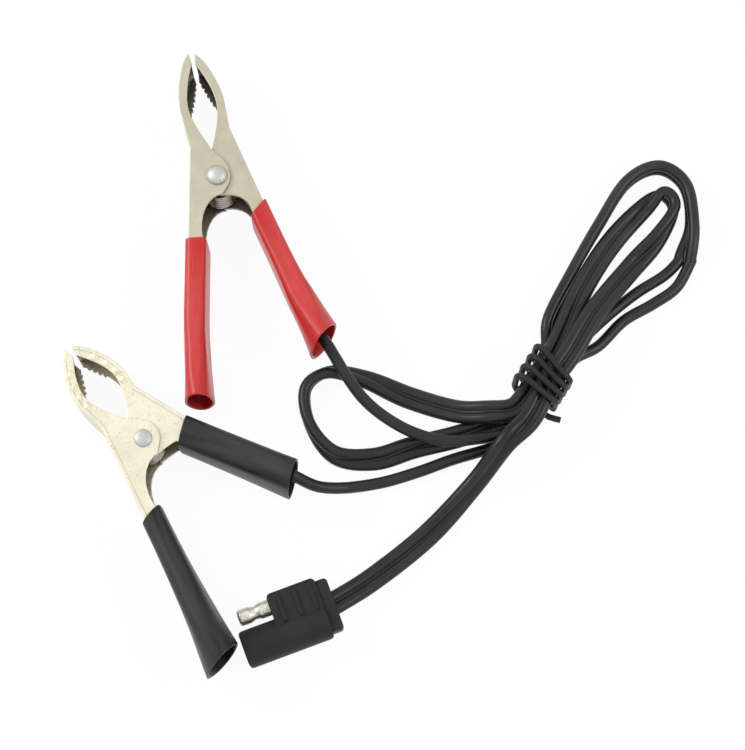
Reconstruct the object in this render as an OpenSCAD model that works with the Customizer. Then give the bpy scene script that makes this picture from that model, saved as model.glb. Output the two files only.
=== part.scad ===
// Battery clip lead: a two-pin quick connector on a flat two-core cable that splits
// into two single leads, each ending in a sprung steel battery clip with PVC grips.

/* [Cable] */
// Diameter of one insulated core of the flat cable, and of each single lead
core_d = 3.3; // [2.8:0.1:3.4]
// Diameter of the bare strand bundle inside a core
strand_d = 1.8; // [1.2:0.1:2]
// Diameter of the coated wire of the cable tie
tie_wire_d = 1.8; // [1.2:0.1:1.8]

/* [Clip steel] */
// Thickness of the pressed sheet
sheet = 1; // [0.8:0.1:1.2]
// Width of the outer lever across its two cheeks
clip_w = 16; // [15.6:0.1:16.4]
// Clearance between the cheeks of the outer and the inner lever
cheek_gap = 0.15; // [0.1:0.05:0.3]
// Length of the red clip's jaws, from the pivot to the tip
red_jaw_len = 38.2; // [37:0.2:40]
// Length of the black clip's jaws, from the pivot to the tip
black_jaw_len = 33.5; // [33:0.1:35]
// Half the width of the red clip across its closed jaws
red_jaw_half = 6.4; // [6.2:0.1:7]
// Half the width of the black clip across its closed jaws
black_jaw_half = 8; // [7.6:0.1:8.4]
// Reach of the red clip's round ear past the pivot
red_ear = 3.7; // [3.6:0.1:4.4]
// Reach of the black clip's round ear past the pivot
black_ear = 4.6; // [4:0.1:5]
// Height of the pressed rim along the edges of the black clip
black_rim = 0.2; // [0.1:0.05:0.3]
// Pitch of the jaw teeth
tooth_pitch = 1.6; // [1.4:0.1:2]
// Depth of the jaw teeth
tooth_depth = 0.7; // [0.4:0.1:0.9]

/* [Handles] */
// Width of a red clip's handle
red_handle_w = 4; // [3.8:0.1:4.4]
// Width of the black clip's outer handle
black_outer_handle_w = 4.4; // [4:0.1:5]
// Width of the black clip's wired handle
black_inner_handle_w = 7; // [6:0.1:7.2]
// Length of the steel handle inside its sleeve
grip_len = 26; // [24:0.5:27]

/* [Sleeves] */
// Wall of a PVC sleeve
sleeve_wall = 0.7; // [0.5:0.1:0.9]
// Clearance between a sleeve and the handle inside it
sleeve_gap = 0.3; // [0.3:0.05:0.4]
// Length of the red outer sleeve
red_outer_sleeve = 46; // [44:0.5:48]
// Length of the red wired sleeve
red_inner_sleeve = 42; // [41:0.5:43]
// Length of the black outer sleeve
black_outer_sleeve = 44; // [42:0.5:45]
// Length of the black wired sleeve
black_inner_sleeve = 33.5; // [33:0.5:36]

/* [Rivets and springs] */
// Diameter of a rivet's shank
rivet_d = 4; // [3.6:0.1:4.2]
// Clearance round the shank in the levers' holes
rivet_gap = 0.05; // [0.02:0.01:0.09]
// Diameter of the red clip's domed rivet head
red_head_d = 5.8; // [5.4:0.1:6.4]
// Diameter of the black clip's flat rivet head
black_head_d = 5; // [4.8:0.1:5.6]
// Diameter of the spring wire
spring_wire_d = 1.2; // [1:0.05:1.25]
// Diameter of the spring's coil, between wire centres
coil_d = 10.8; // [10:0.1:11]
// Distance from one turn of the spring to the next
coil_pitch = 1.75; // [1.7:0.05:1.9]

/* [Connector] */
// Length of the socket side of the housing
housing_len = 24.5; // [23:0.5:26]
// Width of the housing across both contacts
housing_w = 17.4; // [17:0.1:18]
// Thickness of the housing over the socket
housing_t = 10.4; // [10:0.1:10.6]
// Thickness of the housing over the pin
pin_side_t = 8.4; // [7.6:0.2:9]
// Distance between the pin and the socket
contact_pitch = 8.8; // [8.6:0.1:9]
// Length of the bare part of the pin
pin_len = 9.2; // [8.8:0.1:9.6]
// Diameter of the pin
pin_d = 4.6; // [4.4:0.1:4.8]
// Bore of the socket contact
socket_bore = 4.7; // [4.6:0.05:4.9]
// Depth of the socket contact
socket_depth = 11; // [10:0.5:12]
// Length of the strain relief behind the housing
relief_len = 3.2; // [3:0.1:5]
// Width of the strain relief
relief_w = 11.6; // [11:0.2:13]

/* [Hidden] */

$fn = 48;
seat = 0.05;         // clearance between metal faces that rest on each other
red = 0;
black = 1;
outer = 0;
inner = 1;

// Where the pieces lie, with the table at z = 0
mid_z = 10;                                // height of the clips' middle plane
clip_pos = [[2.9, 50.4], [-15.9, -25.8]];  // pivots of the red and the black clip
clip_turn = [12.3, 40.1];                  // turn of each clip, tip along +Y at 0
plug_pos = [25.4, -73.9];
plug_turn = 20.5;
plug_z = housing_t / 2;
plug_shift = 3.35;                         // plug_pos lies this far behind the housing's middle
tie_pos = [94.5, -7.9];
tie_turn = 56.9;

// The four levers as [[red outer, red inner], [black outer, black inner]]
jaw_len = [red_jaw_len, black_jaw_len];
jaw_half = [red_jaw_half, black_jaw_half];
ear = [red_ear, black_ear];
rim = [0, black_rim];
head_d = [red_head_d, black_head_d];
handle_w = [[red_handle_w, red_handle_w], [black_outer_handle_w, black_inner_handle_w]];
sleeve_len = [[red_outer_sleeve, red_inner_sleeve], [black_outer_sleeve, black_inner_sleeve]];
sleeve_from = [[16.7, 10.9], [17, 3]];     // from the pivot down to the sleeve's mouth
shank_turn = [[12, 12], [13.9, 18.5]];     // slope of the lever below the neck
grip_turn = [[12, 12.6], [13.4, 27.2]];    // slope of the handle inside the sleeve
end_turn = [[-3.5, 3.5], [0, 0]];          // bend of the sleeve past the handle
end_half_w = [[4.2, 5.2], [5.8, 5.2]];     // half the width of the sleeve's open end
coil_drop = [1.2, 0.3];                    // the coil hangs this far below the rivet
arch_top = 5.6;                            // from the pivot to the arch between the handles
hub_r = 4.3;                               // round hub of the inner lever under the ear

// The flat cable's route: x, y, clearance under it, roll about its own length
cable_route = [
    [47, -62.5, 1, 0], [62, -49.5, 0, 10], [75.5, -36, 1.2, 20], [84, -25.5, 8.6, 0],
    [91, -18.5, 9.6, 0], [96, -9, 9.5, 0], [102.5, 0, 9.5, 0],
    [110, 12.5, 8.2, 0], [121.5, 27.5, 0.8, 0], [129.5, 36.5, 0, 50], [134.5, 45.5, 0, 90],
    [131.5, 50, 0, 90], [126, 46, 0, 35], [116, 35, 1.4, 0], [107, 20.5, 4.2, 0],
    [99, 2.5, 5.8, 0], [93, -7, 5.8, 0], [87, -16, 5.6, 0],
    [79, -14.5, 4.8, 0], [69.5, -14, 1.6, 0], [57, -10.5, 0, 5], [45, -5.5, 0, 40],
    [34.5, -3.5, 0, 70], [28, -8.5, 0, 90], [29.5, -19, 0, 90], [36.5, -27.5, 0, 60],
    [47.5, -28.5, 0, 25], [58.5, -25, 0, 0], [70.5, -22, 0, 0], [81, -18.5, 0.3, 0],
    [87, -16, 2.1, 0], [93, -7, 2.1, 0], [98, 3, 2, 0],
    [98, 12, 0.6, 60], [104, 25.5, 0, 90], [112.5, 40.5, 0, 90], [121, 53.5, 0, 90],
    [130.5, 58, 0, 90], [138, 52.5, 0, 90], [139.5, 40.5, 0, 80], [137, 29.5, 0, 15]
];

// The single leads' routes from the split to the sleeves: x, y, clearance under them
red_route = [
    [131, 25.5, 0], [122.5, 20, 0], [113.5, 12.5, 1.2], [106, 4.5, 4.7], [103.5, -0.5, 5.8],
    [97.5, -10, 5.8], [91.5, -19, 5.3], [85, -22, 4.9], [76, -23.5, 4.6],
    [67, -24, 4.4], [58, -21, 4.2], [50, -15.5, 4.8], [44, -8.5, 6.6], [38.5, -1.5, 7.8]
];
black_route = [
    [134.5, 22, 0], [127.5, 17, 0], [119, 12, 0], [111.5, 4.5, 0.2], [103.5, -0.5, 2.1],
    [97.5, -10, 2.1], [91.5, -19, 1.8], [86, -23.5, 0.9], [78, -26, 0.1],
    [69.5, -28.5, 0], [60, -32, 0], [50, -35, 0], [40.5, -36.5, 0], [32, -37, 4]
];

// ---- Functions ----

function unit(v) = v / norm(v);

// A smooth curve through the points p, with k steps from each to the next
function curve(p, k) = [
    for (i = [0:len(p) - 2])
        let (a = i > 0 ? p[i - 1] : 2 * p[0] - p[1])
        let (b = p[i])
        let (c = p[i + 1])
        let (d = i < len(p) - 2 ? p[i + 2] : 2 * c - b)
        for (j = [0:k - 1])
            let (t = j / k)
            (2 * b + (c - a) * t + (2 * a - 5 * b + 4 * c - d) * t * t
                + (3 * b - a - 3 * c + d) * t * t * t) / 2,
    p[len(p) - 1]
];

// Directions along a path, with the first one given
function directions(p, first) = [
    first,
    for (i = [1:len(p) - 1]) unit(p[min(i + 1, len(p) - 1)] - p[i - 1])
];

// The widthwise direction at each ring of a sweep, rolled from level
function widthwise(t, roll) = [
    for (i = [0:len(t) - 1])
        let (level = unit(cross([0, 0, 1], t[i])))
        level * cos(roll[i]) + cross(t[i], level) * sin(roll[i])
];

function ring_points(r, sides) = [
    for (i = [0:sides - 1]) r * [cos((i + 0.5) * 360 / sides), sin((i + 0.5) * 360 / sides)]
];

// Two round cores side by side, joined by a thin neck
function twin_core(r) = concat(
    [for (a = [-110:55:110]) [r + r * cos(a), r * sin(a)]],
    [[0, 0.5 * r]],
    [for (a = [70:55:290]) [-r + r * cos(a), r * sin(a)]],
    [[0, -0.5 * r]]
);

// Points along a path, close enough to measure it on
function dense(p, k) = [for (i = [0:len(p) - 2]) for (j = [0:k - 1]) p[i] + (p[i + 1] - p[i]) * j / k];

// Least distance between two stretches of a path that are at least far apart along it
function least_gap(path, far) =
    let (p = dense(path, 4))
    let (run = [for (i = 0, s = 0; i < len(p); s = s + (i < len(p) - 1 ? norm(p[i + 1] - p[i]) : 0), i = i + 1) s])
    min([
        for (i = [0:len(p) - 1])
            for (j = [i + 1:1:len(p) - 1])
                if (run[j] - run[i] > far) norm(p[i] - p[j])
    ]);

// A point of clip c's own plane, placed on the table
function on_table(c, p, z) =
    let (a = clip_turn[c])
    [clip_pos[c].x + p.x * cos(a) - p.y * sin(a), clip_pos[c].y + p.x * sin(a) + p.y * cos(a), z];

// ---- Lever geometry: x runs outward from the clip's centre line, y to the tip ----

function neck(c, s) = [[0.875, 0.93][s] * jaw_half[c], [0.28, 0.4][s] * jaw_len[c]];
function outward(a) = [cos(a), sin(a)];
function downward(a) = [sin(a), -cos(a)];
function knee(c, s) =
    let (drop = neck(c, s).y + sleeve_from[c][s])
    [neck(c, s).x + drop * tan(shank_turn[c][s]), -sleeve_from[c][s]];
function heel(c, s) = knee(c, s) + grip_len * downward(grip_turn[c][s]);
function inner_knee(c, s) = knee(c, s) - handle_w[c][s] * outward(grip_turn[c][s]);
function inner_heel(c, s) = heel(c, s) - handle_w[c][s] * outward(grip_turn[c][s]);
function lever_h(s) = clip_w - (s == inner ? 2 * (sheet + cheek_gap) : 0);

// Back of the lever, from the jaw's tip to the end of the handle
function back_edge(c, s) =
    let (w = jaw_half[c])
    let (l = jaw_len[c])
    concat(
        curve([
            [0.13 * w, l], [0.46 * w, 0.925 * l], [0.78 * w, 0.79 * l],
            [0.97 * w, 0.65 * l], [w, 0.53 * l], neck(c, s)
        ], 5),
        [knee(c, s), heel(c, s)]
    );

// Front of the jaw, from the crotch over the mouth to the tip
function mouth_edge(c, k) =
    let (w = jaw_half[c])
    let (l = jaw_len[c])
    curve([
        [0, 0.21 * l], [0.44 * w, 0.4 * l], [0.62 * w, 0.53 * l],
        [0.61 * w, 0.64 * l], [0.42 * w, 0.77 * l], [0.5, 0.915 * l]
    ], k);

// The arch between the handles, from the handle up to the pivot
function arch_edge(c, s) =
    let (k = inner_knee(c, s))
    [for (a = [0:12:84]) [k.x * cos(a), k.y - (arch_top + k.y) * sin(a)]];

// The ear that laps over the other lever, from the arch up to the crotch
function ear_edge(c) = curve([
    [-0.4, -arch_top - 0.1], [-0.85 * ear[c], -2.4], [-ear[c], 0.7],
    [-0.8 * ear[c], 3.7], [0, 0.21 * jaw_len[c]]
], 4);

function lever_outline(c, s) = concat(
    back_edge(c, s),
    [inner_heel(c, s)],
    arch_edge(c, s),
    s == outer ? ear_edge(c) : [[0, -arch_top]],
    mouth_edge(c, 5)
);

// A path moved sideways by d, to the left of its own direction
function beside(p, d) = [
    for (i = [0:len(p) - 1])
        let (t = unit(p[min(i + 1, len(p) - 1)] - p[max(i - 1, 0)]))
        p[i] + d * [-t.y, t.x]
];

// ---- Shared shapes ----

module sweep(path, across, section, along) {
    n = len(path);
    m = len(section);
    points = concat(
        [for (i = [0:n - 1]) for (q = section) path[i] + q.x * across[i] + q.y * cross(along[i], across[i])],
        [path[0], path[n - 1]]
    );
    sides = [
        for (i = [0:n - 2])
            for (j = [0:m - 1])
                let (a = i * m + j)
                let (b = i * m + (j + 1) % m)
                each [[a, a + m, b + m], [a, b + m, b]]
    ];
    first = [for (j = [0:m - 1]) [n * m, j, (j + 1) % m]];
    last = [for (j = [0:m - 1]) [n * m + 1, (n - 1) * m + (j + 1) % m, (n - 1) * m + j]];
    polyhedron(points, concat(sides, first, last));
}

module round_rect(x, y, r) {
    square([x - 2 * r, y], center = true);
    square([x, y - 2 * r], center = true);
    for (i = [-1, 1])
        for (j = [-1, 1])
            translate([i * (x / 2 - r), j * (y / 2 - r)]) circle(r);
}

module place_clip(c, s) {
    translate([clip_pos[c].x, clip_pos[c].y, mid_z])
        rotate([0, 0, clip_turn[c]])
            mirror([s == outer ? 1 : 0, 0, 0]) children();
}

// ---- Clips ----

// A row of saw teeth along the front of the jaw, near the tip
module teeth(c) {
    edge = mouth_edge(c, 5);
    n = len(edge);
    bites = floor(0.27 * jaw_len[c] / tooth_pitch);
    base = edge[n - 1];
    run = unit(edge[n - 7] - base);
    rise = [run.y, -run.x];
    for (i = [0:bites - 1])
        translate(base + i * tooth_pitch * run)
            polygon([
                -0.6 * rise, (i == 0 ? 0.1 : 0.5) * tooth_depth * rise,
                0.5 * tooth_pitch * run + tooth_depth * min(1, i / 3) * rise, tooth_pitch * run - 0.6 * rise
            ]);
}

module lever(c, s) {
    h = lever_h(s);
    back = back_edge(c, s);
    difference() {
        union() {
            for (z = [-h / 2, h / 2 - sheet])
                translate([0, 0, z]) linear_extrude(sheet) {
                    polygon(lever_outline(c, s));
                    if (s == inner) circle(hub_r);
                }
            translate([0, 0, -h / 2 - rim[c]]) linear_extrude(h + 2 * rim[c])
                intersection() {
                    polygon(lever_outline(c, s));
                    polygon(concat(back, [for (i = [len(back) - 1:-1:0]) beside(back, -sheet)[i]]));
                }
            translate([0, 0, -h / 2]) linear_extrude(sheet) teeth(c);
        }
        translate([0, 0, -h]) cylinder(r = rivet_d / 2 + rivet_gap, h = 2 * h);
    }
}

// Shank through both levers, with a closed head at each end
module rivet(c) {
    face = clip_w / 2 + seat;
    r = head_d[c] / 2;
    rise = c == red ? 1.5 : 0.8;
    translate([0, 0, -face - 0.2]) cylinder(d = rivet_d, h = 2 * face + 0.4);
    for (turn = [0, 180])
        rotate([turn, 0, 0]) translate([0, 0, face]) rotate_extrude()
            polygon(concat([[0, 0], [r, 0]], [for (a = [10:10:90]) [r * cos(a), 0.2 + rise * sin(a)]]));
}

// Inner face of a lever's web, d below the pivot
function web_x(c, s, d) =
    let (k = knee(c, s))
    let (a = d > sleeve_from[c][s] ? grip_turn[c][s] : shank_turn[c][s])
    k.x + (d - sleeve_from[c][s]) * tan(a) - sheet / cos(a);

// Slope of a spring leg that leaves the coil as a tangent and ends just clear of its web
leg_reach = [[14, 10.5], [14, 8]];
leg_gap = 0.3;
function leg_turn(c, s) =
    let (x = web_x(c, s, leg_reach[c][s]) - leg_gap - spring_wire_d / 2)
    let (y = leg_reach[c][s] - coil_drop[c])
    acos(coil_d / 2 / norm([x, y])) - atan2(y, x);

// Torsion spring round the rivet, one leg along each handle
coil_turns = 4;
module spring(c) {
    from = leg_turn(c, inner);
    to = 180 - leg_turn(c, outer) + 360 * coil_turns;
    n = 8 * coil_turns + 4;
    r = coil_d / 2;
    rise = coil_pitch * (to - from) / 360;
    coil = [
        for (i = [0:n])
            let (a = from + (to - from) * i / n)
            [r * cos(a), r * sin(a) - coil_drop[c], rise * (i / n - 0.5)]
    ];
    out_leg = (leg_reach[c][outer] - coil_drop[c] + r * sin(180 - leg_turn(c, outer))) / cos(leg_turn(c, outer));
    in_leg = (leg_reach[c][inner] - coil_drop[c] + r * sin(from)) / cos(from);
    down_in = [sin(from), -cos(from), 0];
    down_out = [-sin(leg_turn(c, outer)), -cos(leg_turn(c, outer)), 0];
    path = concat(
        [coil[0] + in_leg * down_in, coil[0] + 0.5 * in_leg * down_in],
        coil,
        [coil[n] + 0.5 * out_leg * down_out, coil[n] + out_leg * down_out]
    );
    along = directions(path, -down_in);
    echo(least_gap_in_spring = least_gap(path, coil_d) - spring_wire_d);
    sweep(path, widthwise(along, [for (p = path) 0]), ring_points(spring_wire_d / 2, 6), along);
}

// ---- Sleeves ----

// Centre line of a sleeve t from its mouth, in the clip's plane
function sleeve_axis(c, s, t) =
    let (a = grip_turn[c][s])
    let (aside = max(0, t - grip_len) * tan(end_turn[c][s]))
    knee(c, s) - handle_w[c][s] / 2 * outward(a) + t * downward(a) + aside * outward(a);

// A cross-section between a round-cornered box (f = 0) and an oval (f = 1)
function sleeve_section(a, b, f) =
    let (r = 1)
    [
        for (q = [0:3])
            for (t = [0:15:90])
                let (u = q * 90 + t)
                let (sx = (q == 0 || q == 3) ? 1 : -1)
                let (sy = q < 2 ? 1 : -1)
                let (v = atan2(sin(u) + 1.2 * sy, cos(u) + 0.5 * sx))
                [
                    (1 - f) * (sx * (a - r) + r * cos(u)) + f * a * cos(v),
                    (1 - f) * (sy * (b - r) + r * sin(u)) + f * b * sin(v)
                ]
    ];

// Stations along a sleeve: distance, half width, half height, roundness
function sleeve_stations(c, s) =
    let (w = handle_w[c][s] / 2 + sleeve_gap + sleeve_wall)
    let (h = lever_h(s) / 2 + rim[c] + sleeve_gap + sleeve_wall)
    let (l = sleeve_len[c][s])
    curve([
        [0, w + 0.2, h + 0.1, 0], [2, w, h, 0], [grip_len * 0.5, w, h, 0], [grip_len + 1, w, h, 0],
        [0.5 * (grip_len + l), 0.35 * w + 0.65 * end_half_w[c][s], 0.4 * h + 0.6 * mid_z, 0.6],
        [l, end_half_w[c][s], mid_z, 1]
    ], 2);

module sleeve(c, s) {
    stations = sleeve_stations(c, s);
    n = len(stations);
    side = [outward(grip_turn[c][s]).x, outward(grip_turn[c][s]).y, 0];
    outside = [
        for (q = stations)
            for (p = sleeve_section(q[1], q[2], max(0, min(1, q[3]))))
                concat(sleeve_axis(c, s, q[0]), 0) + p.x * side + [0, 0, p.y]
    ];
    inside = [
        for (q = stations)
            for (p = sleeve_section(q[1] - sleeve_wall, q[2] - sleeve_wall, max(0, min(1, q[3]))))
                concat(sleeve_axis(c, s, q[0]), 0) + p.x * side + [0, 0, p.y]
    ];
    m = len(outside) / n;
    all = n * m;
    walls = [
        for (i = [0:n - 2])
            for (j = [0:m - 1])
                let (a = i * m + j)
                let (b = i * m + (j + 1) % m)
                each [
                    [a, b + m, a + m], [a, b, b + m],
                    [all + a, all + a + m, all + b + m], [all + a, all + b + m, all + b]
                ]
    ];
    ends = [
        for (j = [0:m - 1])
            let (k = (j + 1) % m)
            let (e = (n - 1) * m)
            each [
                [j, all + j, all + k], [j, all + k, k],
                [e + j, e + k, all + e + k], [e + j, all + e + k, all + e + j]
            ]
    ];
    polyhedron(concat(outside, inside), concat(walls, ends));
}

// ---- Crimped ends of the leads ----

crimp_r = strand_d / 2 + 0.55;
crimp_len = 5;
bare_len = 8;

// The lead's axis inside the wired sleeve, t from the sleeve's mouth
function wire_point(c, t) =
    let (a = grip_turn[c][inner])
    knee(c, inner) - (sheet + seat + crimp_r) * outward(a) + t * downward(a);

module along_wire(c, t) {
    p = wire_point(c, t);
    translate([p.x, p.y, 0]) rotate([0, 0, grip_turn[c][inner]]) rotate([90, 0, 0]) children();
}

module conductor(c) {
    along_wire(c, grip_len + 1 - bare_len) cylinder(d = strand_d, h = bare_len);
}

module crimp(c) {
    along_wire(c, grip_len - bare_len + 2)
        difference() {
            cylinder(r = crimp_r, h = crimp_len);
            translate([0, 0, -1]) cylinder(r = strand_d / 2 + 0.02, h = crimp_len + 2);
        }
}

// ---- Cords ----

relief_out = housing_len / 2 + relief_len - plug_shift;
plug_out = [cos(plug_turn), sin(plug_turn), 0];
cable_from = [plug_pos.x, plug_pos.y, plug_z - core_d / 2] + relief_out * plug_out;
cable_rows = curve(concat([concat(cable_from, 0)], cable_route), 2);
function sink(roll) = core_d / 2 * (1 + abs(sin(roll)));
cable_path = [for (q = cable_rows) [q[0], q[1], max(0, q[2]) + sink(q[3])]];
cable_along = directions(cable_path, plug_out);
cable_across = widthwise(cable_along, [for (q = cable_rows) q[3]]);
cable_end = cable_path[len(cable_path) - 1];
cable_end_along = cable_along[len(cable_along) - 1];
cable_end_across = cable_across[len(cable_across) - 1];

// One single lead: side is which core it carries on from, c the clip it ends in
module lead(c, side, route) {
    start = cable_end + side * 0.53 * core_d * cable_end_across;
    smooth = curve(concat(
        [start],
        [for (q = route) [q.x, q.y, q.z + core_d / 2]],
        [
            on_table(c, wire_point(c, sleeve_len[c][inner] + 1), mid_z),
            on_table(c, wire_point(c, grip_len + 6), mid_z),
            on_table(c, wire_point(c, grip_len + 1), mid_z)
        ]
    ), 2);
    path = [for (p = smooth) [p.x, p.y, max(core_d / 2 + 0.02, p.z)]];
    along = directions(path, cable_end_along);
    sweep(path, widthwise(along, [for (q = path) 0]), ring_points(core_d / 2, 8), along);
}

// Cross-section of the bundle at the tie: three cores wide and three high
core_step = 3.7;
lay_gap = 0.25;
tie_turns = 4;
tie_mid_z = 7.45;
tie_from = 7.2;             // where the winding starts, along the bundle
tie_drop = 2.93;            // from one turn to the next along the bundle
tie_slant = [2.5, 0.62];    // lean of the first and the last turn
tie_tail = [[0, -4.8], [3.7, -5.4], [6.6, -5.4], [8, -5], [9.8, -4.4]];    // across the bundle and along it

// A point of the winding: across the bundle, up and along it, t in turns from 0
function tie_point(t) =
    let (r = core_d / 2 + lay_gap + tie_wire_d / 2)
    let (q = floor(t * 4))
    let (a = t * 360 - 90)
    let (q4 = q % 4)
    let (sx = (q4 == 0 || q4 == 1) ? 1 : -1)
    let (sy = (q4 == 1 || q4 == 2) ? 1 : -1)
    let (slant = tie_slant[0] + (tie_slant[1] - tie_slant[0]) * t / tie_turns)
    let (n = sx * core_step + r * cos(a))
    [n, sy * core_step + r * sin(a), tie_from - tie_drop * t - slant * n / (core_step + r)];

module cable_tie() {
    // each quarter has its arc in five steps, and the straight run joins it to the next
    wrap = [
        for (q = [0:4 * tie_turns - 1])
            for (i = [0:5])
                tie_point((q + min(0.999, i / 5)) / 4)
    ];
    e = [cos(tie_turn), sin(tie_turn), 0];
    w = [sin(tie_turn), -cos(tie_turn), 0];
    local = concat(
        [wrap[0] + [-2 * tie_wire_d, 0, 0.8]],
        wrap,
        [for (q = tie_tail) [q[0], wrap[0][1], q[1]]]
    );
    path = [for (q = local) [tie_pos.x, tie_pos.y, tie_mid_z] + q[0] * w + q[1] * [0, 0, 1] + q[2] * e];
    along = directions(path, unit(path[1] - path[0]));
    across = [for (t = along) unit(cross(t, e))];
    echo(least_gap_in_tie = least_gap(path, 6) - tie_wire_d);
    color("#2b2b2b") sweep(path, across, ring_points(tie_wire_d / 2, 6), along);
}

// ---- Connector: x along its length to the cable, y across, z up ----

front = -housing_len / 2 - plug_shift;
step = front + pin_len + 1.3;
back = front + housing_len;
pin_y = contact_pitch / 2 + 1;
socket_y = pin_y - contact_pitch;
socket_r = socket_bore / 2 + 0.55;

module place_plug() {
    translate([plug_pos.x, plug_pos.y, plug_z]) rotate([0, 0, plug_turn]) children();
}

module along_plug(x) {
    translate([x, 0, 0]) rotate([90, 0, 90]) children();
}

module connector_housing() {
    barrel_r = housing_w / 2 + socket_y;
    color("#303030") place_plug() difference() {
        union() {
            // barrel over the socket, cut flat at the table
            intersection() {
                along_plug(front) linear_extrude(housing_len) translate([socket_y, 0]) circle(barrel_r);
                translate([front + housing_len / 2, socket_y, -housing_t / 2])
                    linear_extrude(housing_t) round_rect(housing_len, 2 * barrel_r, 1.4);
            }
            // flatter block over the pin
            intersection() {
                along_plug(step) linear_extrude(back - step)
                    translate([socket_y / 2 + housing_w / 4, 0])
                        round_rect(housing_w / 2 - socket_y, pin_side_t, 1.6);
                translate([(step + back) / 2, socket_y / 2 + housing_w / 4, -housing_t / 2])
                    linear_extrude(housing_t) round_rect(back - step, housing_w / 2 - socket_y, 1.6);
            }
            // strain relief
            intersection() {
                along_plug(back - 2) linear_extrude(relief_len + 2) round_rect(relief_w, 6.8, 1.8);
                translate([back + relief_len / 2 - 1, 0, -housing_t / 2])
                    linear_extrude(housing_t) round_rect(relief_len + 2, relief_w, 1.2);
            }
            // three grip bars on each face
            for (i = [0:2])
                translate([step + 3 + i * 4.6, 3.7, -pin_side_t / 2 - 0.5])
                    linear_extrude(pin_side_t + 1) round_rect(1.3, 7.6, 0.6);
        }
        along_plug(front - 1) translate([socket_y, 0]) cylinder(r = socket_r + seat, h = socket_depth + 2);
        along_plug(step - 1) translate([pin_y, 0]) cylinder(r = pin_d / 2 - 0.3 + seat, h = 9);
    }
}

// Bullet pin with a waist, its shank held in the housing
module male_terminal() {
    r = pin_d / 2;
    color("#c8c3b4") place_plug() along_plug(step - pin_len) translate([pin_y, 0]) rotate_extrude()
        polygon(concat(
            [[0, 0]],
            [for (a = [-60:15:0]) [r - 0.9 + 0.9 * cos(a), 0.9 + 0.9 * sin(a)]],
            [[r, 3.2]],
            curve([[r, 3.3], [r - 0.35, 4.3], [r - 0.45, 5], [r - 0.3, 5.7], [r, 6.4]], 3),
            [[r, pin_len - seat], [r - 0.3, pin_len - seat], [r - 0.3, pin_len + 7.5], [0, pin_len + 7.5]]
        ));
}

// Socket contact, a tube set back in its barrel
module female_terminal() {
    color("#c8c3b4") place_plug() along_plug(front + 0.8) translate([socket_y, 0]) difference() {
        cylinder(r = socket_r, h = socket_depth);
        translate([0, 0, -1]) cylinder(d = socket_bore, h = socket_depth);
    }
}

// ---- Nodes ----

module two_core_cable() {
    color("#2c2c2c") sweep(cable_path, cable_across, twin_core(core_d / 2), cable_along);
}

module red_lead() { color("#2c2c2c") lead(red, -sign(cable_end_across.x), red_route); }
module black_lead() { color("#2c2c2c") lead(black, sign(cable_end_across.x), black_route); }

module red_inner_lever() { color("#c9c3ae") place_clip(red, inner) lever(red, inner); }
module red_outer_lever() { color("#c9c3ae") place_clip(red, outer) lever(red, outer); }
module red_rivet() { color("#d9d9d6") place_clip(red, inner) rivet(red); }
module red_spring() { color("#9a9488") place_clip(red, inner) spring(red); }
module red_inner_sleeve() { color("#d23630") place_clip(red, inner) sleeve(red, inner); }
module red_outer_sleeve() { color("#d23630") place_clip(red, outer) sleeve(red, outer); }
module red_conductor() { color("#b87333") place_clip(red, inner) conductor(red); }
module red_crimp() { color("#c9c3ae") place_clip(red, inner) crimp(red); }

module black_inner_lever() { color("#ece7d2") place_clip(black, inner) lever(black, inner); }
module black_outer_lever() { color("#ece7d2") place_clip(black, outer) lever(black, outer); }
module black_rivet() { color("#d9d9d6") place_clip(black, inner) rivet(black); }
module black_spring() { color("#9a9488") place_clip(black, inner) spring(black); }
module black_inner_sleeve() { color("#2e2e2e") place_clip(black, inner) sleeve(black, inner); }
module black_outer_sleeve() { color("#2e2e2e") place_clip(black, outer) sleeve(black, outer); }
module black_conductor() { color("#b87333") place_clip(black, inner) conductor(black); }
module black_crimp() { color("#ece7d2") place_clip(black, inner) crimp(black); }

two_core_cable();
red_lead();
black_lead();
cable_tie();
connector_housing();
male_terminal();
female_terminal();
red_inner_lever();
red_outer_lever();
red_rivet();
red_spring();
red_inner_sleeve();
red_outer_sleeve();
red_conductor();
red_crimp();
black_inner_lever();
black_outer_lever();
black_rivet();
black_spring();
black_inner_sleeve();
black_outer_sleeve();
black_conductor();
black_crimp();
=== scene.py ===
import math

import bpy
import numpy as np
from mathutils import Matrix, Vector


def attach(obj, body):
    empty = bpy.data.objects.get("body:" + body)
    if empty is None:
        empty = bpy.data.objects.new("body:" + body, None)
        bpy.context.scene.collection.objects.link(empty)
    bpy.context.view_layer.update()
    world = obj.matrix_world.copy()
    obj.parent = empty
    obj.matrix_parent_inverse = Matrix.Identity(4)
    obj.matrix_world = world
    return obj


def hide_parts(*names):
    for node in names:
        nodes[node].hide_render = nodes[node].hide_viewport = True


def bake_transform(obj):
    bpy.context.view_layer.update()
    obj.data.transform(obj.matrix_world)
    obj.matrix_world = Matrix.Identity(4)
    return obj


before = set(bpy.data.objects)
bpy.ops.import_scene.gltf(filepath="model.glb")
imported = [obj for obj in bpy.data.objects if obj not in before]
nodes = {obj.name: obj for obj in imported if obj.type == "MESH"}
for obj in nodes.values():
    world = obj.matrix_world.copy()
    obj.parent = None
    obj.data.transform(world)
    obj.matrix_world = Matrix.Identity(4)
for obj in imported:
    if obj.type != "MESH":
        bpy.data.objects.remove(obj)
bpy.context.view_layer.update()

MM = 0.001

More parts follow.
